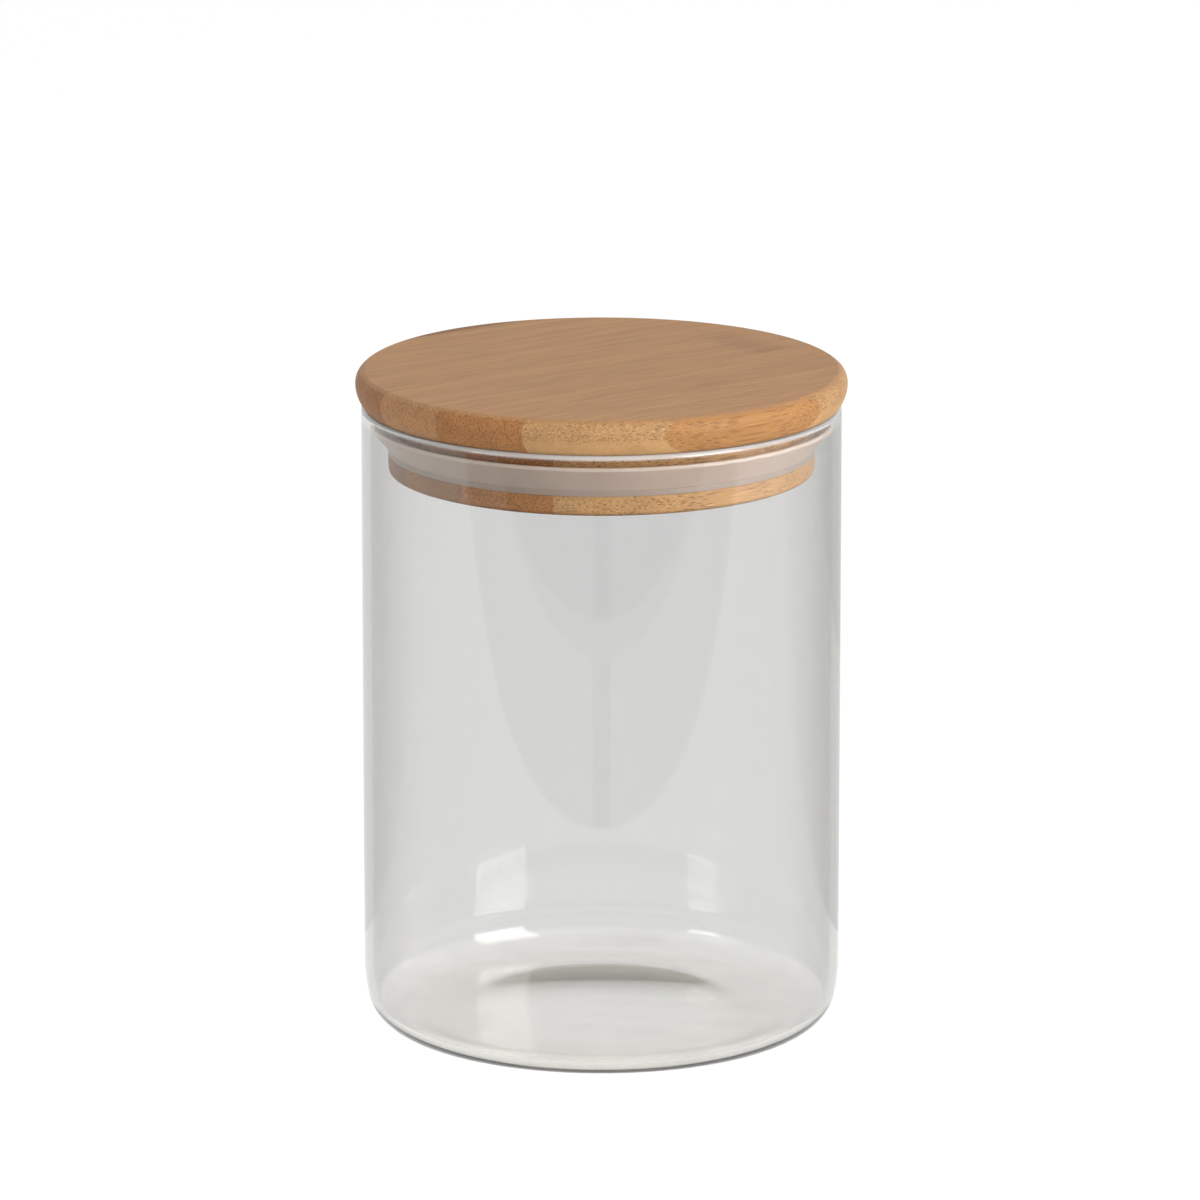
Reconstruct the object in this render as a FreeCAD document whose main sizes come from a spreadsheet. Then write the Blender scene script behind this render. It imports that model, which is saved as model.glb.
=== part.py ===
"""Food canister: a blown glass jar with a press-in lid of laminated bamboo and a silicone seal ring.

Millimetres, +Z up.  The origin is the centre of the jar's base, on the surface it stands on.
The lid is drawn seated in the jar's mouth.
"""
import FreeCAD, Part
import math
import os

import Sketcher

# Driving dimensions, in millimetres and degrees.
DIMENSIONS = {
    # The jar
    "jar_radius": 50.0,
    "jar_height": 132.7,
    "glass_wall": 1.8,
    "floor_thickness": 2.2,
    "floor_dome": 1.6,
    "corner_radius": 7.4,
    "ease_depth": 7.3,
    "ease_inset": 0.75,
    "foot_width": 1.5,
    "base_kick": 1.9,
    "kick_turn": 27.0,
    # The lid's cap, which overhangs the glass
    "lid_radius": 51.2,
    "crown_radius": 49.3,
    "underside_radius": 49.6,
    "cap_thickness": 7.2,
    "top_edge_drop": 2.8,
    "seat_gap": 0.1,
    # The lid's plug, which goes into the mouth
    "plug_radius": 44.4,
    "plug_depth": 13.9,
    "plug_edge": 1.2,
    # The bamboo strips that the cap and the plug are glued up from
    "strip_width": 18.8,
    "grain_angle": 38.0,
    # The seal ring and its groove in the plug
    "groove_depth": 1.5,
    "groove_below_rim": 4.2,
    "groove_height": 5.5,
    "ring_play": 0.05,
    "lip_clearance": 0.1,
    "lip_thickness": 0.8,
    "lip_land": 0.7,
    "lip_heel": 1.1,
    "lip_root": 2.4,
    "lip_stand": 1.35,
}
CAP_STRIPS = 7
PLUG_STRIPS = 5
FULL_TURN = 360.0

doc = FreeCAD.newDocument("food_canister")
sheet = doc.addObject("Spreadsheet::Sheet", "dims")


def fill_sheet():
    for row, (name, number) in enumerate(DIMENSIONS.items(), start=1):
        sheet.set(f"A{row}", name)
        sheet.set(f"B{row}", str(number))
        sheet.setAlias(f"B{row}", name)
    doc.recompute()


class Size:
    """A length that knows its number and the sheet expression behind it."""

    def __init__(self, number, text):
        self.number = number
        self.text = text

    @staticmethod
    def of(other):
        if isinstance(other, Size):
            return other
        return Size(float(other), str(float(other)))

    def __add__(self, other):
        other = Size.of(other)
        return Size(self.number + other.number, f"({self.text} + {other.text})")

    def __sub__(self, other):
        other = Size.of(other)
        return Size(self.number - other.number, f"({self.text} - {other.text})")

    def __mul__(self, other):
        other = Size.of(other)
        return Size(self.number * other.number, f"({self.text} * {other.text})")

    def __truediv__(self, other):
        other = Size.of(other)
        return Size(self.number / other.number, f"({self.text} / {other.text})")


def size(name):
    return Size(DIMENSIONS[name], f"dims.{name}")


def dome_radius(half_chord, rise):
    """Radius of the arc that is level at one end and falls by rise over half_chord."""
    return (half_chord * half_chord + rise * rise) / (rise * 2)


class Turned:
    """A round piece: a closed outline of radius and height, turned about the Z axis."""

    def __init__(self, label):
        self.body = doc.addObject("PartDesign::Body", label)
        self.body.Label = label
        self.corners = []
        self.bends = []

    def corner(self, radius, height, bend=None, turn=1):
        """Adds a corner.  A bend is the radius of the arc from here to the next corner.

        The arc's centre lies left of that run when turn is 1, and right of it when turn is -1.
        """
        self.corners.append((radius, height))
        self.bends.append((bend, turn))

    def spot(self, index):
        radius, height = self.corners[index % len(self.corners)]
        return FreeCAD.Vector(radius.number, height.number, 0)

    def edge(self, index):
        start = self.spot(index)
        end = self.spot(index + 1)
        bend, turn = self.bends[index]
        if bend is None:
            return Part.LineSegment(start, end)
        chord = end - start
        left = FreeCAD.Vector(-chord.y, chord.x, 0).normalize()
        reach = math.sqrt(max(bend.number ** 2 - chord.Length ** 2 / 4, 0.0))
        centre = (start + end) / 2 + left * (reach * turn)
        first, last = (start, end) if turn > 0 else (end, start)
        from_angle = math.atan2(first.y - centre.y, first.x - centre.x)
        to_angle = math.atan2(last.y - centre.y, last.x - centre.x)
        circle = Part.Circle(centre, FreeCAD.Vector(0, 0, 1), bend.number)
        return Part.ArcOfCircle(circle, from_angle, to_angle)

    def sketch(self):
        plane = next(item for item in self.body.Origin.OriginFeatures if item.Role == "XZ_Plane")
        drawing = self.body.newObject("Sketcher::SketchObject", f"{self.body.Label}_outline")
        drawing.AttachmentSupport = [(plane, "")]
        drawing.MapMode = "FlatFace"
        count = len(self.corners)
        for index in range(count):
            drawing.addGeometry(self.edge(index))
        for index in range(count):
            self.join(drawing, (index - 1) % count, index)
        for index, (radius, height) in enumerate(self.corners):
            self.locate(drawing, index, radius, height)
        for index, (bend, _) in enumerate(self.bends):
            if bend is not None:
                number = drawing.addConstraint(Sketcher.Constraint("Radius", index, bend.number))
                drawing.setExpression(f"Constraints[{number}]", bend.text)
        return drawing

    def end_of(self, drawing, edge, corner):
        """Which end of an edge, 1 or 2, lies at a corner."""
        spot = self.spot(corner)
        return min((1, 2), key=lambda end: (drawing.getPoint(edge, end) - spot).Length)

    def join(self, drawing, before, after):
        drawing.addConstraint(Sketcher.Constraint(
            "Coincident",
            before, self.end_of(drawing, before, after),
            after, self.end_of(drawing, after, after)))

    def locate(self, drawing, index, radius, height):
        root, horizontal, vertical = -1, -1, -2
        end = self.end_of(drawing, index, index)
        for name, length, axis in (("DistanceX", radius, vertical), ("DistanceY", height, horizontal)):
            if length.number == 0:
                drawing.addConstraint(Sketcher.Constraint("PointOnObject", index, end, axis))
                continue
            number = drawing.addConstraint(
                Sketcher.Constraint(name, root, 1, index, end, length.number))
            drawing.setExpression(f"Constraints[{number}]", length.text)

    def turn(self):
        drawing = self.sketch()
        doc.recompute()
        revolution = self.body.newObject("PartDesign::Revolution", f"{self.body.Label}_turned")
        revolution.Profile = (drawing, [""])
        revolution.ReferenceAxis = (drawing, ["V_Axis"])
        revolution.Angle = FULL_TURN
        self.body.Tip = revolution
        doc.recompute()
        return self.body


ZERO = Size(0.0, "0")
ONE = Size(1.0, "1")


def make_jar():
    """Straight glass wall, rounded fire-polished rim, and a slightly kicked base.

    The wall first eases in along a wide arc, and a tighter arc then takes it round to the base.
    The underside rises from a narrow foot ring along a hollow arc, which turns into a dome at kick_turn.
    """
    radius = size("jar_radius")
    wall = size("glass_wall")
    rim = size("jar_height")
    bead = wall / 2
    bore = radius - wall
    floor = size("floor_thickness")
    dome = size("floor_dome")
    kick = size("base_kick")
    kick_turn = size("kick_turn")
    corner = size("corner_radius")
    ease_depth = size("ease_depth")
    ease_inset = size("ease_inset")
    ease = dome_radius(ease_depth, ease_inset)
    lean_sine = ease_depth / ease
    lean_cosine = ONE - ease_inset / ease
    corner_top = corner * (ONE - lean_sine)
    ease_top = corner_top + ease_depth
    flat = radius - ease_inset - corner * lean_cosine
    foot = flat - size("foot_width")
    rise = kick / foot
    kick_bend = (ONE + rise * rise) / (rise * 2)
    inner_ease = ease - wall
    inner_corner_top = ease_top - inner_ease * lean_sine
    inner_corner = (inner_corner_top - floor) / (ONE - lean_sine)
    inner_side = radius - ease + inner_ease * lean_cosine
    inner_flat = inner_side - inner_corner * lean_cosine
    jar = Turned("glass_jar")
    jar.corner(ZERO, kick, kick_turn * kick_bend, -1)
    jar.corner(kick_turn, (foot - kick_turn) * rise, (foot - kick_turn) * kick_bend)
    jar.corner(foot, ZERO)
    jar.corner(flat, ZERO, corner)
    jar.corner(radius - ease_inset, corner_top, ease)
    jar.corner(radius, ease_top)
    jar.corner(radius, rim - bead, bead)
    jar.corner(radius - bead, rim, bead)
    jar.corner(bore, rim - bead)
    jar.corner(bore, ease_top, inner_ease, -1)
    jar.corner(inner_side, inner_corner_top, inner_corner, -1)
    jar.corner(inner_flat, floor, dome_radius(inner_flat, dome))
    jar.corner(ZERO, floor + dome)
    return jar.turn()


def make_cap_blank():
    """The board of the cap as it leaves the lathe: flat faces and a rounded rim."""
    seat = size("jar_height") + size("seat_gap")
    top = seat + size("cap_thickness")
    drop = size("top_edge_drop")
    widest = top - drop
    side = size("lid_radius")
    crown = size("crown_radius")
    under = size("underside_radius")
    cap = Turned("cap_blank")
    cap.corner(ZERO, seat)
    cap.corner(under, seat, dome_radius(widest - seat, side - under))
    cap.corner(side, widest, dome_radius(drop, side - crown))
    cap.corner(crown, top)
    cap.corner(ZERO, top)
    return cap.turn()


def make_plug_blank():
    """The board of the plug as it leaves the lathe, with the groove for the seal ring."""
    seat = size("jar_height") + size("seat_gap")
    side = size("plug_radius")
    bottom = seat - size("plug_depth")
    edge = size("plug_edge")
    groove = side - size("groove_depth")
    groove_top = seat - size("groove_below_rim")
    groove_bottom = groove_top - size("groove_height")
    plug = Turned("plug_blank")
    plug.corner(ZERO, bottom)
    plug.corner(side - edge, bottom, edge)
    plug.corner(side, bottom + edge)
    plug.corner(side, groove_bottom)
    plug.corner(groove, groove_bottom)
    plug.corner(groove, groove_top)
    plug.corner(side, groove_top)
    plug.corner(side, seat)
    plug.corner(ZERO, seat)
    return plug.turn()


def make_strip(blank, label, number, count):
    """One bamboo strip: the slice of a turned board between two glue lines."""
    reach = size("lid_radius")
    width = size("strip_width")
    slab = doc.addObject("Part::Box", f"{label}_slab")
    slab.setExpression("Length", (reach * 2).text)
    slab.setExpression("Width", width.text)
    slab.setExpression("Height", (size("jar_height") + size("cap_thickness") * 2).text)
    slab.setExpression("Placement.Base.x", (ZERO - reach).text)
    slab.setExpression("Placement.Base.y", (width * (number - 1 - count / 2)).text)
    strip = doc.addObject("Part::Common", label)
    strip.Label = label
    strip.Base = blank
    strip.Tool = slab
    strip.Placement = FreeCAD.Placement(
        FreeCAD.Vector(), FreeCAD.Rotation(FreeCAD.Vector(0, 0, 1), DIMENSIONS["grain_angle"]))
    strip.setExpression("Placement.Rotation.Angle", f"{size('grain_angle').text} * 1 deg")
    doc.recompute()
    return strip


def make_strips(blank, board, count):
    return [make_strip(blank, f"{board}_strip_{number}", number, count) for number in range(1, count + 1)]


def make_seal_ring():
    """A band that sits in the plug's groove, with one lip that flares up and out to the glass.

    The lip leaves the band above a low heel and stands a little higher than the band.
    """
    play = size("ring_play")
    plug = size("plug_radius")
    hole = plug - size("groove_depth") + play
    top = size("jar_height") + size("seat_gap") - size("groove_below_rim") - play
    bottom = top - size("groove_height") + play * 2
    lip = size("jar_radius") - size("glass_wall") - size("lip_clearance")
    lip_inside = lip - size("lip_thickness")
    lip_top = top + size("lip_stand")
    ring = Turned("seal_ring")
    ring.corner(hole, bottom)
    ring.corner(plug, bottom)
    ring.corner(plug, bottom + size("lip_heel"))
    ring.corner(lip, lip_top - size("lip_land"))
    ring.corner(lip, lip_top)
    ring.corner(lip_inside, lip_top)
    ring.corner(plug, bottom + size("lip_root"))
    ring.corner(plug, top)
    ring.corner(hole, top)
    return ring.turn()


def check(pieces):
    """Stops if any feature failed, or if a piece is not one sound solid."""
    for item in doc.Objects:
        if "Invalid" in item.State or "Error" in item.State:
            raise RuntimeError(f"{item.Label} failed: {item.State}")
    for piece in pieces:
        shape = piece.Shape
        if shape.isNull() or not shape.isValid() or len(shape.Solids) != 1:
            raise RuntimeError(f"{piece.Label} is not one sound solid")
        print(f"{piece.Label}: {shape.Volume / 1000:.2f} cm3")


def main():
    fill_sheet()
    pieces = [make_jar(), make_seal_ring()]
    pieces += make_strips(make_cap_blank(), "cap", CAP_STRIPS)
    pieces += make_strips(make_plug_blank(), "plug", PLUG_STRIPS)
    doc.recompute()
    check(pieces)
    os.makedirs("parts", exist_ok=True)
    for piece in pieces:
        piece.Shape.exportStep(f"parts/{piece.Label}.step")


main()
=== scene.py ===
"""Food canister: the looks of its glass jar, its lid of bamboo strips and its silicone seal ring.

Metres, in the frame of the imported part: +Z up, the origin at the centre of the base,
the viewer on the -Y side.
"""
import math

import bpy
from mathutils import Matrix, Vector


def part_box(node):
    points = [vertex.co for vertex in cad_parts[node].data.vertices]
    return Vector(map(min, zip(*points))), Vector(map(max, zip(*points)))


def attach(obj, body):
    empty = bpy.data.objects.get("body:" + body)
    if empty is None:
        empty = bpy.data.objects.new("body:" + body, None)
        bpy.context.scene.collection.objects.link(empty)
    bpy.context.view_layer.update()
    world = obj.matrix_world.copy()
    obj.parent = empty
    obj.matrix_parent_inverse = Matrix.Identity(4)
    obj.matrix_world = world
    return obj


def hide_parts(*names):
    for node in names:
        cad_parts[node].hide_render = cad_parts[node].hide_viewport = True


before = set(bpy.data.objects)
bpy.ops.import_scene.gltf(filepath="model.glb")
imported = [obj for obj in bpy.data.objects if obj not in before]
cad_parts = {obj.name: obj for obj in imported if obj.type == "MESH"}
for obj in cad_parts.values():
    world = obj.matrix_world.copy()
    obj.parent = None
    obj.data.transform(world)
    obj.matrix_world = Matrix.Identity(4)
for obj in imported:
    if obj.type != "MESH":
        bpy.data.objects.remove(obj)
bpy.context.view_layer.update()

# Sizes read from the frame
jar_low, jar_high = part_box("glass_jar")
cap_low, cap_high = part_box("cap_strip_4")
plug_low, plug_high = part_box("plug_strip_3")
seal_low, seal_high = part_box("seal_ring")
JAR_RADIUS = jar_high.x
RIM = jar_high.z
SEAT = cap_low.z
LID_TOP = cap_high.z
PLUG_BOTTOM = plug_low.z
SEAL_BOTTOM = seal_low.z
SEAL_TOP = seal_high.z

# Sizes of the jar's section
GLASS_WALL = 0.0018
FLOOR_THICKNESS = 0.0022
FLOOR_DOME = 0.0016
CORNER_RADIUS = 0.0074
EASE_DEPTH = 0.0073
EASE_INSET = 0.00075
FOOT_WIDTH = 0.0015
BASE_KICK = 0.0019
KICK_TURN = 0.027

# Sizes of the lid's section
LID_RADIUS = 0.0512
CROWN_RADIUS = 0.0493
UNDERSIDE_RADIUS = 0.0496
TOP_EDGE_DROP = 0.0028
PLUG_RADIUS = 0.0444
PLUG_EDGE = 0.0012
GROOVE_RADIUS = 0.0429
GROOVE_PLAY = 0.00005

# The bamboo strips
STRIP_WIDTH = 0.0188
GRAIN_ANGLE = math.radians(38.0)
ACROSS_GRAIN = Vector((-math.sin(GRAIN_ANGLE), math.cos(GRAIN_ANGLE), 0.0))
GLUE_LINE = 0.00007
GLUE_ANGLE = math.radians(50.0)

# The seal ring's section
LIP_RADIUS = 0.0481
LIP_THICKNESS = 0.0008
LIP_LAND = 0.0007
LIP_HEEL = 0.0011
LIP_ROOT = 0.0024
LIP_STAND = 0.00135

# Fineness of the turned meshes
ROUND_STEPS = 256
ARC_STEPS = 14
POLE_RADIUS = 0.0004
SMOOTH_ANGLE = math.radians(16.0)
HOLD = 0.0004


def dome_radius(half_chord, rise):
    """Radius of the arc that is level at one end and falls by rise over half_chord."""
    return (half_chord ** 2 + rise ** 2) / (2 * rise)


def arc(centre, radius, start, end, steps=ARC_STEPS):
    """Outline points along an arc, from one angle to another, in degrees."""
    points = []
    for step in range(steps + 1):
        angle = math.radians(start + (end - start) * step / steps)
        points.append((centre[0] + radius * math.cos(angle), centre[1] + radius * math.sin(angle)))
    return points


def dome(top, radius, start, end):
    """Outline points of a dome centred on the axis, from one distance to another."""
    angles = [90 - math.degrees(math.asin(reach / radius)) for reach in (start, end)]
    return arc((0, top - radius), radius, *angles)


def start_ring(name, radius, height):
    bpy.ops.object.select_all(action="DESELECT")
    bpy.ops.mesh.primitive_circle_add(vertices=ROUND_STEPS, radius=radius, location=(0, 0, height))
    piece = bpy.context.active_object
    piece.name = name
    piece.data.name = name
    bpy.ops.object.transform_apply(location=True, rotation=True, scale=True)
    bpy.ops.object.mode_set(mode="EDIT")
    bpy.ops.mesh.select_all(action="SELECT")
    return piece


def turn(name, outline, ring=False):
    """Turns an outline of (radius, height) points: one ring of edges, extruded from point to point.

    A ring's last point is bridged to its first; any other piece is closed at its two poles.
    """
    radius, height = outline[0]
    piece = start_ring(name, radius, height)
    for next_radius, next_height in outline[1:]:
        bpy.ops.mesh.extrude_edges_move(TRANSFORM_OT_translate={"value": (0, 0, next_height - height)})
        growth = next_radius / radius
        bpy.ops.transform.resize(value=(growth, growth, 1), center_override=(0, 0, next_height))
        radius, height = next_radius, next_height
    bpy.ops.mesh.select_all(action="DESELECT")
    bpy.ops.mesh.select_mode(type="EDGE")
    bpy.ops.mesh.select_non_manifold()
    if ring:
        bpy.ops.mesh.bridge_edge_loops()
    else:
        bpy.ops.mesh.fill_holes(sides=0)
    bpy.ops.mesh.select_all(action="SELECT")
    bpy.ops.mesh.normals_make_consistent(inside=False)
    bpy.ops.object.mode_set(mode="OBJECT")
    smooth(piece)
    return piece


def smooth(piece):
    bpy.ops.object.select_all(action="DESELECT")
    piece.select_set(True)
    bpy.context.view_layer.objects.active = piece
    bpy.ops.object.shade_smooth_by_angle(angle=SMOOTH_ANGLE)


def make_jar():
    """The glass: kicked base, round lower corner that eases into a straight wall, fire-polished rim."""
    ease = dome_radius(EASE_DEPTH, EASE_INSET)
    sine = EASE_DEPTH / ease
    cosine = 1 - EASE_INSET / ease
    lean = math.degrees(math.asin(sine))
    ease_top = CORNER_RADIUS * (1 - sine) + EASE_DEPTH
    flat = JAR_RADIUS - EASE_INSET - CORNER_RADIUS * cosine
    foot = flat - FOOT_WIDTH
    slope = 2 * math.atan(BASE_KICK / foot)
    crown = KICK_TURN / math.sin(slope)
    hollow = (foot - KICK_TURN) / math.sin(slope)
    inner_ease = ease - GLASS_WALL
    inner_corner = (ease_top - inner_ease * sine - FLOOR_THICKNESS) / (1 - sine)
    inner_flat = JAR_RADIUS - ease + (inner_ease - inner_corner) * cosine
    inner_dome = dome_radius(inner_flat, FLOOR_DOME)
    bead = GLASS_WALL / 2
    bore = JAR_RADIUS - GLASS_WALL
    ease_centre = (JAR_RADIUS - ease, ease_top)
    outline = dome(BASE_KICK, crown, POLE_RADIUS, KICK_TURN)
    outline += arc((foot, hollow), hollow, -90 - math.degrees(slope), -90)[1:]
    outline += arc((flat, CORNER_RADIUS), CORNER_RADIUS, -90, -lean)
    outline += arc(ease_centre, ease, -lean, 0)[1:]
    outline += [(JAR_RADIUS, ease_top + HOLD), (JAR_RADIUS, RIM - bead - HOLD)]
    outline += arc((JAR_RADIUS - bead, RIM - bead), bead, 0, 180)
    outline += [(bore, RIM - bead - HOLD), (bore, ease_top + HOLD)]
    outline += arc(ease_centre, inner_ease, 0, -lean)
    outline += arc((inner_flat, FLOOR_THICKNESS + inner_corner), inner_corner, -lean, -90)[1:]
    outline += dome(FLOOR_THICKNESS + FLOOR_DOME, inner_dome, inner_flat, POLE_RADIUS)[1:]
    return turn("canister_glass", outline)


def make_cap_board():
    """The cap as turned: flat faces, a crisp upper edge and a rim that rounds in below."""
    widest = LID_TOP - TOP_EDGE_DROP
    lower = dome_radius(widest - SEAT, LID_RADIUS - UNDERSIDE_RADIUS)
    upper = dome_radius(TOP_EDGE_DROP, LID_RADIUS - CROWN_RADIUS)
    lower_angle = math.degrees(math.asin((widest - SEAT) / lower))
    upper_angle = math.degrees(math.asin(TOP_EDGE_DROP / upper))
    outline = [(POLE_RADIUS, SEAT)]
    outline += arc((LID_RADIUS - lower, widest), lower, -lower_angle, 0)
    outline += arc((LID_RADIUS - upper, widest), upper, 0, upper_angle)[1:]
    outline.append((POLE_RADIUS, LID_TOP))
    return turn("cap_board", outline)


def make_plug_board():
    """The plug as turned: a rounded lower edge and a groove for the seal ring."""
    groove_bottom = SEAL_BOTTOM - GROOVE_PLAY
    groove_top = SEAL_TOP - LIP_STAND + GROOVE_PLAY
    outline = [(POLE_RADIUS, PLUG_BOTTOM)]
    outline += arc((PLUG_RADIUS - PLUG_EDGE, PLUG_BOTTOM + PLUG_EDGE), PLUG_EDGE, -90, 0)
    outline += [(PLUG_RADIUS, groove_bottom), (GROOVE_RADIUS, groove_bottom)]
    outline += [(GROOVE_RADIUS, groove_top), (PLUG_RADIUS, groove_top)]
    outline += [(PLUG_RADIUS, SEAT), (POLE_RADIUS, SEAT)]
    return turn("plug_board", outline)


def cut_strip(board, name, low, high, reach):
    """Copies a turned board and saws away all but the strip between two glue lines."""
    bpy.ops.object.select_all(action="DESELECT")
    board.select_set(True)
    bpy.context.view_layer.objects.active = board
    bpy.ops.object.duplicate()
    strip = bpy.context.active_object
    strip.name = name
    strip.data.name = name
    bpy.ops.object.mode_set(mode="EDIT")
    for offset, above in ((low, False), (high, True)):
        if abs(offset) < reach:
            bpy.ops.mesh.select_all(action="SELECT")
            bpy.ops.mesh.bisect(
                plane_co=ACROSS_GRAIN * offset, plane_no=ACROSS_GRAIN,
                use_fill=True, clear_inner=not above, clear_outer=above)
    bpy.ops.object.mode_set(mode="OBJECT")
    edge = strip.modifiers.new("glue_line", "BEVEL")
    edge.width = GLUE_LINE
    edge.segments = 1
    edge.limit_method = "ANGLE"
    edge.angle_limit = GLUE_ANGLE
    bpy.ops.object.modifier_apply(modifier=edge.name)
    smooth(strip)
    return strip


def cut_board(board, prefix, count, reach):
    strips = []
    for number in range(1, count + 1):
        low = (number - 1 - count / 2) * STRIP_WIDTH
        strips.append(cut_strip(board, f"{prefix}_{number}", low, low + STRIP_WIDTH, reach))
    bpy.data.objects.remove(board)
    return strips


def make_seal():
    """The silicone: a band in the plug's groove and one lip that flares up and out to the glass."""
    hole = GROOVE_RADIUS + GROOVE_PLAY
    band_top = SEAL_TOP - LIP_STAND
    bead = LIP_THICKNESS / 2
    outline = [(hole, SEAL_BOTTOM), (PLUG_RADIUS, SEAL_BOTTOM), (PLUG_RADIUS, SEAL_BOTTOM + LIP_HEEL)]
    outline.append((LIP_RADIUS, SEAL_TOP - LIP_LAND))
    outline += arc((LIP_RADIUS - bead, SEAL_TOP - bead), bead, 0, 180)
    outline += [(PLUG_RADIUS, SEAL_BOTTOM + LIP_ROOT), (PLUG_RADIUS, band_top), (hole, band_top)]
    return turn("silicone_seal", outline, ring=True)


# The glass: its grey, with painted shade where it is seen edge on; the paler cast of its floor,
# with streaks of painted shade for the uneven light through its wavy glass; its rim, painted pale
# as a highlight; and how much light a metre of it takes away
GLASS_GREY = (0.885, 0.888, 0.905, 1.0)
GLASS_EDGE_PAINTED_SHADE = (0.5, 0.502, 0.51, 1.0)
FLOOR_CAST = (0.96, 0.96, 0.955, 1.0)
CAST_TOP = 0.0056
CAST_FADE = 0.0002
RIM_PAINTED_HIGHLIGHT = (0.94, 0.94, 0.94, 1.0)
RIM_HIGHLIGHT_TRANSMISSION = 0.6
BEAD_START = 0.7 * GLASS_WALL
BEAD_FULL = 0.35 * GLASS_WALL
EDGE_START = 0.35
EDGE_FULL = 0.95
PAINTED_WAVE_SCALE = (45, 170, 45)
PAINTED_WAVE_SHADE = 0.93
GLASS_TINT = (0.25, 0.2, 0.0, 1.0)
GLASS_DENSITY = 60.0


def empty_material(name):
    material = bpy.data.materials.new(name)
    material.use_nodes = True
    material.node_tree.nodes.clear()
    return material


class Shader:
    """A material's node tree, with short calls to add and link its nodes."""

    def __init__(self, name):
        self.material = empty_material(name)
        self.tree = self.material.node_tree
        self.surface = self.add("ShaderNodeBsdfPrincipled")
        output = self.add("ShaderNodeOutputMaterial")
        self.link(self.surface.outputs["BSDF"], output.inputs["Surface"])
        self.output = output

    def add(self, kind, **values):
        """Adds a node; each value is a number or colour for a socket, or another node's output."""
        node = self.tree.nodes.new(kind)
        for name, value in values.items():
            self.put(node, name.replace("_", " "), value)
        return node

    def put(self, node, name, value):
        socket = node.inputs[name]
        if isinstance(value, bpy.types.NodeSocket):
            self.link(value, socket)
        else:
            socket.default_value = value

    def link(self, start, end):
        self.tree.links.new(start, end)

    def mapped(self, vector, scale=(1, 1, 1), turn_z=0.0, shift=(0, 0, 0)):
        mapping = self.add("ShaderNodeMapping", Vector=vector, Scale=scale, Location=shift)
        mapping.inputs["Rotation"].default_value = (0, 0, turn_z)
        return mapping.outputs["Vector"]

    def place(self):
        return self.add("ShaderNodeTexCoord").outputs["Object"]

    def noise(self, vector, scale, detail=3.0, roughness=0.5):
        texture = self.add(
            "ShaderNodeTexNoise", Vector=vector, Scale=scale, Detail=detail, Roughness=roughness)
        return texture.outputs["Fac"]

    def cells(self, vector, scale):
        texture = self.add("ShaderNodeTexVoronoi", Vector=vector, Scale=scale)
        return texture.outputs["Distance"]

    def range(self, value, low, high, to_low=0.0, to_high=1.0):
        node = self.add("ShaderNodeMapRange", Value=value)
        node.interpolation_type = "SMOOTHSTEP"
        for name, number in (("From Min", low), ("From Max", high), ("To Min", to_low), ("To Max", to_high)):
            node.inputs[name].default_value = number
        return node.outputs["Result"]

    def combine(self, operation, first, second):
        node = self.tree.nodes.new("ShaderNodeMath")
        node.operation = operation
        for index, value in enumerate((first, second)):
            if isinstance(value, bpy.types.NodeSocket):
                self.link(value, node.inputs[index])
            else:
                node.inputs[index].default_value = value
        return node.outputs["Value"]

    def mix(self, amount, first, second, blend="MIX"):
        node = self.tree.nodes.new("ShaderNodeMix")
        node.data_type = "RGBA"
        node.blend_type = blend
        sockets = {"factor": node.inputs[0], "first": node.inputs[6], "second": node.inputs[7]}
        for key, value in (("factor", amount), ("first", first), ("second", second)):
            if isinstance(value, bpy.types.NodeSocket):
                self.link(value, sockets[key])
            else:
                sockets[key].default_value = value
        return node.outputs[2]

    def bump(self, height, distance, strength=1.0):
        node = self.add("ShaderNodeBump", Height=height, Distance=distance, Strength=strength)
        self.link(node.outputs["Normal"], self.surface.inputs["Normal"])


def srgb(red, green, blue):
    """A colour written as 0 to 255 screen values, as the linear colour that a socket takes."""
    linear = []
    for part in (red, green, blue):
        share = part / 255
        linear.append(share / 12.92 if share <= 0.04045 else ((share + 0.055) / 1.055) ** 2.4)
    return (*linear, 1.0)


def shade(colour, factor):
    """A colour made lighter or darker."""
    return (*(min(part * factor, 1.0) for part in colour[:3]), 1.0)


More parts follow.
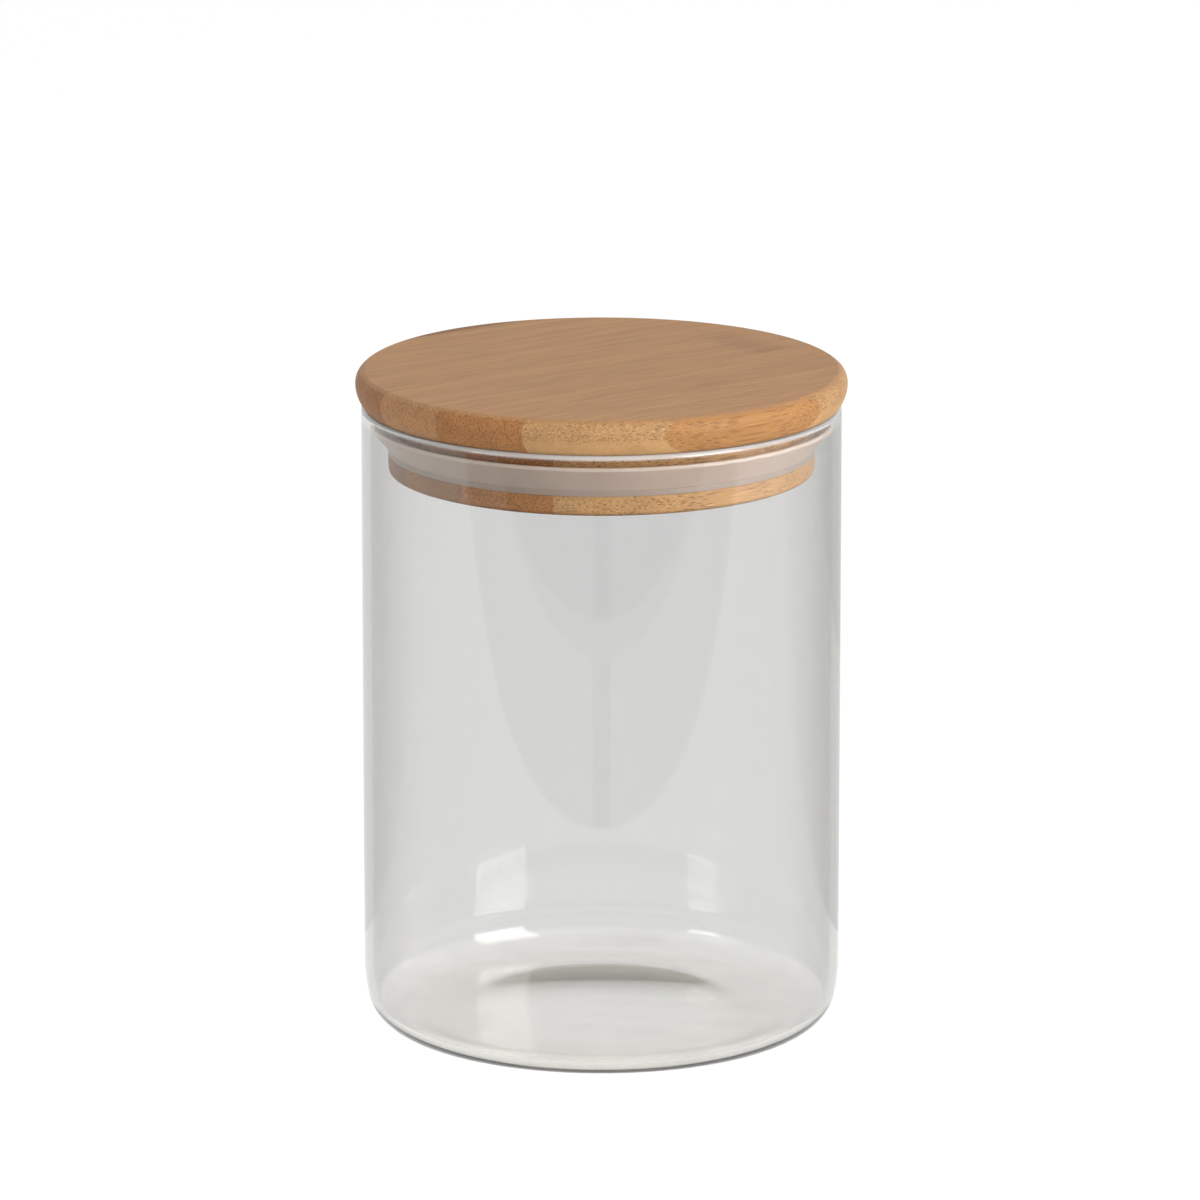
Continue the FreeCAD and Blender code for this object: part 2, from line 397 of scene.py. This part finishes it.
def clear_glass():
    """Polished clear glass, faintly grey, with painted shade where it is seen edge on, streaks of painted
    shade in its paler floor and a rim painted pale as a highlight.
    """
    shader = Shader("clear_glass")
    surface = shader.surface
    surface.inputs["IOR"].default_value = 1.5
    surface.inputs["Roughness"].default_value = 0.0
    place = shader.place()
    height = shader.add("ShaderNodeSeparateXYZ", Vector=place).outputs["Z"]
    low = shader.range(height, CAST_TOP - CAST_FADE, CAST_TOP + CAST_FADE, 1.0, 0.0)
    # Painted highlight: the glass within two wall thicknesses of the rim is painted pale.
    rim = shader.range(height, RIM - 2 * GLASS_WALL, RIM - GLASS_WALL)
    # Painted shade: faint dark streaks across the floor, in place of the uneven light that wavy glass bends.
    painted_waves = shader.noise(shader.mapped(place, scale=PAINTED_WAVE_SCALE), 1.0)
    cast = shader.mix(shader.range(painted_waves, 0.45, 0.75), FLOOR_CAST, shade(FLOOR_CAST, PAINTED_WAVE_SHADE))
    # Painted shade: the grey deepens where the glass is seen edge on, by Layer Weight.
    facing = shader.add("ShaderNodeLayerWeight", Blend=0.5).outputs["Facing"]
    wall = shader.mix(shader.range(facing, EDGE_START, EDGE_FULL), GLASS_GREY, GLASS_EDGE_PAINTED_SHADE)
    with_rim_highlight = shader.mix(rim, wall, RIM_PAINTED_HIGHLIGHT)
    shader.link(shader.mix(low, with_rim_highlight, cast), surface.inputs["Base Color"])
    # Painted highlight: the bead at the rim lets less light through, so that its white shows lit.
    clear = shader.range(height, RIM - BEAD_START, RIM - BEAD_FULL, 1.0, RIM_HIGHLIGHT_TRANSMISSION)
    shader.link(clear, surface.inputs["Transmission Weight"])
    depth = shader.add("ShaderNodeVolumeAbsorption", Color=GLASS_TINT, Density=GLASS_DENSITY)
    shader.link(depth.outputs["Volume"], shader.output.inputs["Volume"])
    return shader.material


# The bamboo, in millimetres along and across the grain: its fibre bundles, dark and pale, its fine fibres
# and its broad bands, as repeats in a millimetre; how much speckle is left in the pale part and on top;
# the size of the marks as a share of their cell, their shades and strength, and the stain of a knot
MILLIMETRES = (1000, 1000, 1000)
BUNDLE_SCALE = (0.06, 2.0, 2.2)
PALE_BUNDLE_SCALE = (0.06, 2.4, 2.6)
PALE_BUNDLE_SHIFT = (5, 9, 3)
FIBRE_SCALE = (0.04, 3.2, 3.2)
BAND_SCALE = (0.01, 0.35, 0.35)
PALE_SPECKLE = 0.25
TOP_SPECKLE = 0.5
DOT_SIZE = (0.15, 0.5)
DOT_SHADE = 0.3
FLECK_SIZE = (0.1, 0.4)
FLECK_SHADE = 1.6
STREAK_SHADE = 1.25
STREAK_STRENGTH = 0.3
BAND_SHADES = (0.92, 1.06)
BAMBOO_ROUGHNESS = (0.5, 0.65)
FIBRE_RELIEF = 0.00002
KNOT_CORE = 1.0
KNOT_REACH = 7.0
KNOT_STAIN = 0.5
KNOT_SHADE = 0.55

# How far below its top face a strip takes its top tone, how far painted shade darkens its lower edge,
# and how its pale part fades
TOP_START = 0.0008
TOP_FULL = 0.0002
FOOT_START = 0.0001
FOOT_END = 0.0007
FOOT_PAINTED_SHADE = 0.75
FADE = 0.0012


class Culm:
    """How a bamboo strip looks.

    Its tones on the rim and on top, the strength of its speckle and the height of its foot, where painted
    shade darkens its lower edge; then the height of the pale part above the foot, the shade of the rim above
    that, the place of a knot along the grain, and how much painted light makes the strip paler close under the
    cap.
    """

    def __init__(self, rim, top, speckle, foot, pale=0.0, upper=1.0, knot=None, painted_light_under_cap=1.0):
        self.rim = rim
        self.top = top
        self.speckle = speckle
        self.foot = foot
        self.pale = pale
        self.upper = upper
        self.knot = knot
        self.painted_light_under_cap = painted_light_under_cap


def bamboo(name, culm, seed):
    """Bamboo as a solid: fibre bundles along the grain, dots where cut across and streaks where cut along.

    The pale part of the strip is the inner culm, with hardly any bundles. A knot leaves a brown stain.
    """
    shader = Shader(name)
    along = shader.mapped(shader.place(), scale=MILLIMETRES, turn_z=-GRAIN_ANGLE)
    grain = shader.mapped(along, shift=(seed, 0, 0))
    height = shader.add("ShaderNodeSeparateXYZ", Vector=shader.place()).outputs["Z"]
    on_top = shader.range(height, LID_TOP - TOP_START, LID_TOP - TOP_FULL)
    pale_top = culm.foot + culm.pale
    dense = shader.range(height, pale_top - FADE, pale_top + FADE, PALE_SPECKLE, 1.0)
    bundles = shader.cells(shader.mapped(grain, scale=BUNDLE_SCALE), 1.0)
    pale_bundles = shader.cells(shader.mapped(grain, scale=PALE_BUNDLE_SCALE, shift=PALE_BUNDLE_SHIFT), 1.0)
    fibres = shader.noise(shader.mapped(grain, scale=FIBRE_SCALE), 1.0, roughness=0.6)
    bands = shader.noise(shader.mapped(grain, scale=BAND_SCALE), 1.0, detail=2.0)
    speckle = shader.range(on_top, 0.0, 1.0, culm.speckle, TOP_SPECKLE * culm.speckle)
    bundled = shader.combine("MULTIPLY", dense, speckle)
    dots = shader.combine("MULTIPLY", shader.range(bundles, *DOT_SIZE, 1.0, 0.0), bundled)
    flecks = shader.combine("MULTIPLY", shader.range(pale_bundles, *FLECK_SIZE, 1.0, 0.0), bundled)
    rim = shader.mix(shader.range(dense, PALE_SPECKLE, 1.0), culm.rim, shade(culm.rim, culm.upper))
    tone = shader.mix(on_top, rim, culm.top)
    # Painted shade: each strip darkens along its lower edge, just above its foot.
    edge = shader.range(height, culm.foot + FOOT_START, culm.foot + FOOT_END, FOOT_PAINTED_SHADE, 1.0)
    # Painted light: the strip is made paler close under the cap, where the cap's shade falls.
    under_cap_light = shader.range(height, SEAL_TOP - LIP_STAND, SEAT, 1.0, culm.painted_light_under_cap)
    toned = shader.mix(1.0, tone, shader.range(bands, 0.3, 0.7, *BAND_SHADES), "MULTIPLY")
    painted_light_and_shade = shader.mix(1.0, toned, shader.combine("MULTIPLY", edge, under_cap_light), "MULTIPLY")
    streaks = shader.range(fibres, 0.35, 0.75, 0.0, STREAK_STRENGTH)
    streaked = shader.mix(streaks, painted_light_and_shade, shade(culm.top, STREAK_SHADE))
    flecked = shader.mix(flecks, streaked, shade(culm.rim, FLECK_SHADE))
    speckled = shader.mix(dots, flecked, shade(culm.rim, DOT_SHADE))
    if culm.knot is not None:
        station = shader.add("ShaderNodeSeparateXYZ", Vector=along).outputs["X"]
        reach = shader.combine("ABSOLUTE", shader.combine("SUBTRACT", station, culm.knot), 0.0)
        near = shader.range(reach, KNOT_CORE, KNOT_REACH, KNOT_STAIN, 0.0)
        stain = shader.combine("MULTIPLY", near, shader.range(fibres, 0.3, 0.6))
        speckled = shader.mix(stain, speckled, shade(culm.top, KNOT_SHADE))
    shader.link(speckled, shader.surface.inputs["Base Color"])
    shader.surface.inputs["Specular IOR Level"].default_value = 0.3
    shader.link(shader.range(fibres, 0.2, 0.8, *BAMBOO_ROUGHNESS), shader.surface.inputs["Roughness"])
    shader.bump(shader.combine("SUBTRACT", fibres, dots), FIBRE_RELIEF, 0.5)
    return shader.material


# The silicone: its two milky tones, the fineness of its haze, the painted shade on its heel and its satin skin
MILK_WARM = srgb(234, 211, 194)
MILK_PALE = srgb(242, 222, 207)
HAZE_SCALE = (300, 300, 300)
HEEL_PAINTED_SHADE = 0.65
SATIN_ROUGHNESS = (0.32, 0.42)


def silicone():
    """Milky translucent silicone with a soft satin skin."""
    shader = Shader("silicone")
    surface = shader.surface
    surface.inputs["IOR"].default_value = 1.41
    surface.inputs["Transmission Weight"].default_value = 0.35
    surface.inputs["Subsurface Weight"].default_value = 0.4
    surface.inputs["Subsurface Radius"].default_value = (0.003, 0.0028, 0.0026)
    surface.inputs["Subsurface Scale"].default_value = 1.0
    haze = shader.noise(shader.mapped(shader.place(), scale=HAZE_SCALE), 1.0)
    milk = shader.mix(haze, MILK_WARM, MILK_PALE)
    height = shader.add("ShaderNodeSeparateXYZ", Vector=shader.place()).outputs["Z"]
    # Painted shade: the heel at the foot of the seal is darkened.
    heel_shade = shader.range(height, SEAL_BOTTOM + 0.8 * LIP_HEEL, SEAL_BOTTOM + 1.4 * LIP_HEEL, HEEL_PAINTED_SHADE, 1.0)
    shader.link(shader.mix(1.0, milk, heel_shade, "MULTIPLY"), surface.inputs["Base Color"])
    shader.link(shader.range(haze, 0.3, 0.7, *SATIN_ROUGHNESS), surface.inputs["Roughness"])
    return shader.material


def dress(piece, material, body, node):
    piece.data.materials.clear()
    piece.data.materials.append(material)
    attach(piece, body)
    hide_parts(node)


# The strips of the cap, from the front right to the back left, and of the plug
TOP_TONE = srgb(176, 131, 87)
CAP_CULMS = [
    Culm(srgb(173, 123, 72), TOP_TONE, 0.45, SEAT),
    Culm(srgb(192, 149, 100), TOP_TONE, 0.6, SEAT, pale=0.003, upper=0.84),
    Culm(srgb(164, 111, 64), TOP_TONE, 0.6, SEAT),
    Culm(srgb(174, 128, 86), TOP_TONE, 0.6, SEAT, knot=38.0),
    Culm(srgb(152, 106, 69), TOP_TONE, 0.55, SEAT),
    Culm(srgb(164, 118, 76), TOP_TONE, 0.55, SEAT),
    Culm(srgb(144, 98, 62), srgb(140, 96, 60), 0.5, SEAT),
]
# The plug strips are the cap's culms darkened strip by strip: painted shade for the plug under the cap and
# behind the glass.
PLUG_PAINTED_SHADES = (0.9, 1.0, 0.7, 0.75, 0.75)
PLUG_SPECKLE = 0.65
PLUG_UNDER_CAP_LIGHT = 1.5
SEED_STEP = 37.0
PLUG_CULMS = [
    Culm(shade(culm.rim, factor), culm.top, PLUG_SPECKLE, PLUG_BOTTOM, painted_light_under_cap=PLUG_UNDER_CAP_LIGHT)
    for culm, factor in zip(CAP_CULMS[1:6], PLUG_PAINTED_SHADES)
]


def dress_strips(strips, prefix, culms):
    for number, (strip, culm) in enumerate(zip(strips, culms), start=1):
        material = bamboo(f"bamboo_{prefix}_{number}", culm, seed=SEED_STEP * number)
        dress(strip, material, "lid", f"{prefix}_strip_{number}")


def make_canister():
    glass = make_jar()
    glass.visible_shadow = False
    dress(glass, clear_glass(), "jar", "glass_jar")
    dress(make_seal(), silicone(), "seal", "seal_ring")
    dress_strips(cut_board(make_cap_board(), "cap_bamboo", len(CAP_CULMS), LID_RADIUS), "cap", CAP_CULMS)
    dress_strips(cut_board(make_plug_board(), "plug_bamboo", len(PLUG_CULMS), PLUG_RADIUS), "plug", PLUG_CULMS)


# The studio: its white paper, its light and its camera
GLASS_BOUNCES = 32
FLOOR_SIZE = 14.0
FLOOR_GAP = 0.0002
PAPER_GLOW = 0.9
PAPER_LIT = 0.8
PAPER_SEEN = 0.16
AMBIENT = 0.5
CAMERA_DISTANCE = 1.9
CAMERA_HEIGHT = 0.564
CAMERA_PITCH = math.radians(14.0)
FRAME_PIXELS = 1200
FOCAL_PIXELS = 9364
SENSOR_WIDTH = 36.0
CENTRE_COLUMN = 601.5

# The cards that the glass mirrors: where those in front, and those behind on both sides, begin and end
CARD_LIFT = 0.0004
STAND_LIFT = 0.0008
TABLE_EDGE = -0.245
TABLE_MIDDLE = -0.4
TABLE_END = -3.0
SIDE_HALF = 0.35
SIDE_PLACE = 0.41
SIDE_START = 0.06
SIDE_MIDDLE = 0.3
SIDE_END = 0.7


def seen_ray(tree):
    """1 for the rays that show the white background: from the camera, off gloss and through glass."""
    path = tree.nodes.new("ShaderNodeLightPath")
    seen = path.outputs["Is Camera Ray"]
    for kind in ("Is Glossy Ray", "Is Transmission Ray"):
        either = tree.nodes.new("ShaderNodeMath")
        either.operation = "MAXIMUM"
        tree.links.new(seen, either.inputs[0])
        tree.links.new(path.outputs[kind], either.inputs[1])
        seen = either.outputs["Value"]
    return seen


def floor_paper():
    """White paper: its own white to the eye, with a share of lit paper on top that keeps the shadow."""
    material = empty_material("studio_floor")
    tree = material.node_tree
    seen = seen_ray(tree)
    paleness = tree.nodes.new("ShaderNodeMapRange")
    paleness.inputs["To Min"].default_value = PAPER_LIT
    paleness.inputs["To Max"].default_value = PAPER_SEEN
    lit = tree.nodes.new("ShaderNodeBsdfDiffuse")
    glow = tree.nodes.new("ShaderNodeEmission")
    glow.inputs["Color"].default_value = (PAPER_GLOW, PAPER_GLOW, PAPER_GLOW, 1)
    both = tree.nodes.new("ShaderNodeAddShader")
    output = tree.nodes.new("ShaderNodeOutputMaterial")
    tree.links.new(seen, paleness.inputs["Value"])
    tree.links.new(paleness.outputs["Result"], lit.inputs["Color"])
    tree.links.new(seen, glow.inputs["Strength"])
    tree.links.new(lit.outputs["BSDF"], both.inputs[0])
    tree.links.new(glow.outputs["Emission"], both.inputs[1])
    tree.links.new(both.outputs["Shader"], output.inputs["Surface"])
    return material


def card_paint(name, tone):
    """A matt tone that shows only in reflections, and lets all other rays through to the paper."""
    material = empty_material(name)
    tree = material.node_tree
    path = tree.nodes.new("ShaderNodeLightPath")
    mirrored = tree.nodes.new("ShaderNodeMath")
    mirrored.operation = "GREATER_THAN"
    mirrored.inputs[1].default_value = 0.5
    clear = tree.nodes.new("ShaderNodeBsdfTransparent")
    paint = tree.nodes.new("ShaderNodeEmission")
    paint.inputs["Color"].default_value = (tone, tone, tone, 1)
    choice = tree.nodes.new("ShaderNodeMixShader")
    output = tree.nodes.new("ShaderNodeOutputMaterial")
    tree.links.new(path.outputs["Glossy Depth"], mirrored.inputs[0])
    tree.links.new(mirrored.outputs["Value"], choice.inputs["Fac"])
    tree.links.new(clear.outputs["BSDF"], choice.inputs[1])
    tree.links.new(paint.outputs["Emission"], choice.inputs[2])
    tree.links.new(choice.outputs["Shader"], output.inputs["Surface"])
    return material


def make_card(name, tone, near, far, near_half, far_half, lift=CARD_LIFT, aside=0.0):
    """A dark card that lies on the paper, seen by nothing but the glass that mirrors it."""
    bpy.ops.object.select_all(action="DESELECT")
    bpy.ops.mesh.primitive_plane_add(size=2, location=(0, 0, lift))
    card = bpy.context.active_object
    card.name = name
    for corner in card.data.vertices:
        front = corner.co.y > 0
        corner.co.x = aside + math.copysign(near_half if front else far_half, corner.co.x)
        corner.co.y = near if front else far
    card.data.materials.append(card_paint(name, tone))
    card.visible_camera = False
    card.visible_diffuse = False
    card.visible_shadow = False


def make_front_cards():
    """The cards in front, for the grey shapes in the middle of the glass."""
    make_card("front_card", 0.45, TABLE_EDGE, TABLE_MIDDLE, near_half=1.2, far_half=1.2)
    make_card("far_card", 0.12, TABLE_MIDDLE, TABLE_END, near_half=1.2, far_half=4.0)
    make_card("stand_card", 0.0, TABLE_EDGE, TABLE_END, near_half=0.016, far_half=0.24, lift=STAND_LIFT)


def make_side_cards():
    """The cards behind on both sides, for the grey along the edges of the glass."""
    make_card("right_far_card", 0.78, SIDE_END, SIDE_MIDDLE, SIDE_HALF, SIDE_HALF, aside=SIDE_PLACE)
    make_card("right_near_card", 0.86, SIDE_MIDDLE, SIDE_START, SIDE_HALF, SIDE_HALF, aside=SIDE_PLACE)
    make_card("left_card", 0.93, SIDE_END, SIDE_START, SIDE_HALF, SIDE_HALF, aside=-SIDE_PLACE)


def make_floor():
    bpy.ops.object.select_all(action="DESELECT")
    bpy.ops.mesh.primitive_plane_add(size=FLOOR_SIZE, location=(0, 0, -FLOOR_GAP))
    floor = bpy.context.active_object
    floor.name = "studio_floor"
    floor.data.materials.append(floor_paper())


def make_world():
    world = bpy.data.worlds.new("studio")
    world.use_nodes = True
    tree = world.node_tree
    tree.nodes.clear()
    background = tree.nodes.new("ShaderNodeBackground")
    background.inputs["Color"].default_value = (1, 1, 1, 1)
    level = tree.nodes.new("ShaderNodeMapRange")
    level.inputs["To Min"].default_value = AMBIENT
    level.inputs["To Max"].default_value = 1.0
    output = tree.nodes.new("ShaderNodeOutputWorld")
    tree.links.new(seen_ray(tree), level.inputs["Value"])
    tree.links.new(level.outputs["Result"], background.inputs["Strength"])
    tree.links.new(background.outputs["Background"], output.inputs["Surface"])
    bpy.context.scene.world = world


def make_lamp(name, place, target, width, height, power, mirrored=True):
    data = bpy.data.lights.new(name, "AREA")
    data.shape = "RECTANGLE"
    data.size = width
    data.size_y = height
    data.energy = power
    lamp = bpy.data.objects.new(name, data)
    lamp.location = place
    lamp.rotation_euler = (Vector(target) - Vector(place)).to_track_quat("-Z", "Y").to_euler()
    lamp.visible_glossy = mirrored
    bpy.context.scene.collection.objects.link(lamp)


def make_camera():
    data = bpy.data.cameras.new("photo_view")
    data.sensor_fit = "HORIZONTAL"
    data.sensor_width = SENSOR_WIDTH
    data.lens = FOCAL_PIXELS / FRAME_PIXELS * SENSOR_WIDTH
    data.shift_x = (FRAME_PIXELS / 2 - CENTRE_COLUMN) / FRAME_PIXELS
    data.clip_start = 0.1
    data.clip_end = 50.0
    camera = bpy.data.objects.new("photo_view", data)
    camera.location = (0, -CAMERA_DISTANCE, CAMERA_HEIGHT)
    camera.rotation_euler = (math.pi / 2 - CAMERA_PITCH, 0, 0)
    bpy.context.scene.collection.objects.link(camera)
    bpy.context.scene.camera = camera


def make_studio():
    middle = (0, 0, LID_TOP / 2)
    make_floor()
    make_world()
    make_front_cards()
    make_side_cards()
    make_lamp("key_right", (1.3, -0.9, 0.7), middle, width=0.9, height=1.2, power=26.0)
    make_lamp("fill_left", (-1.4, -0.7, 0.8), middle, width=0.9, height=1.2, power=3.0, mirrored=False)
    make_lamp("window_left", (-1.64, -1.15, 0.42), middle, width=0.6, height=0.4, power=4.0)
    make_camera()


make_canister()
make_studio()
bpy.context.scene.view_settings.view_transform = "Standard"
for bounces in ("max_bounces", "transmission_bounces", "glossy_bounces"):
    setattr(bpy.context.scene.cycles, bounces, GLASS_BOUNCES)
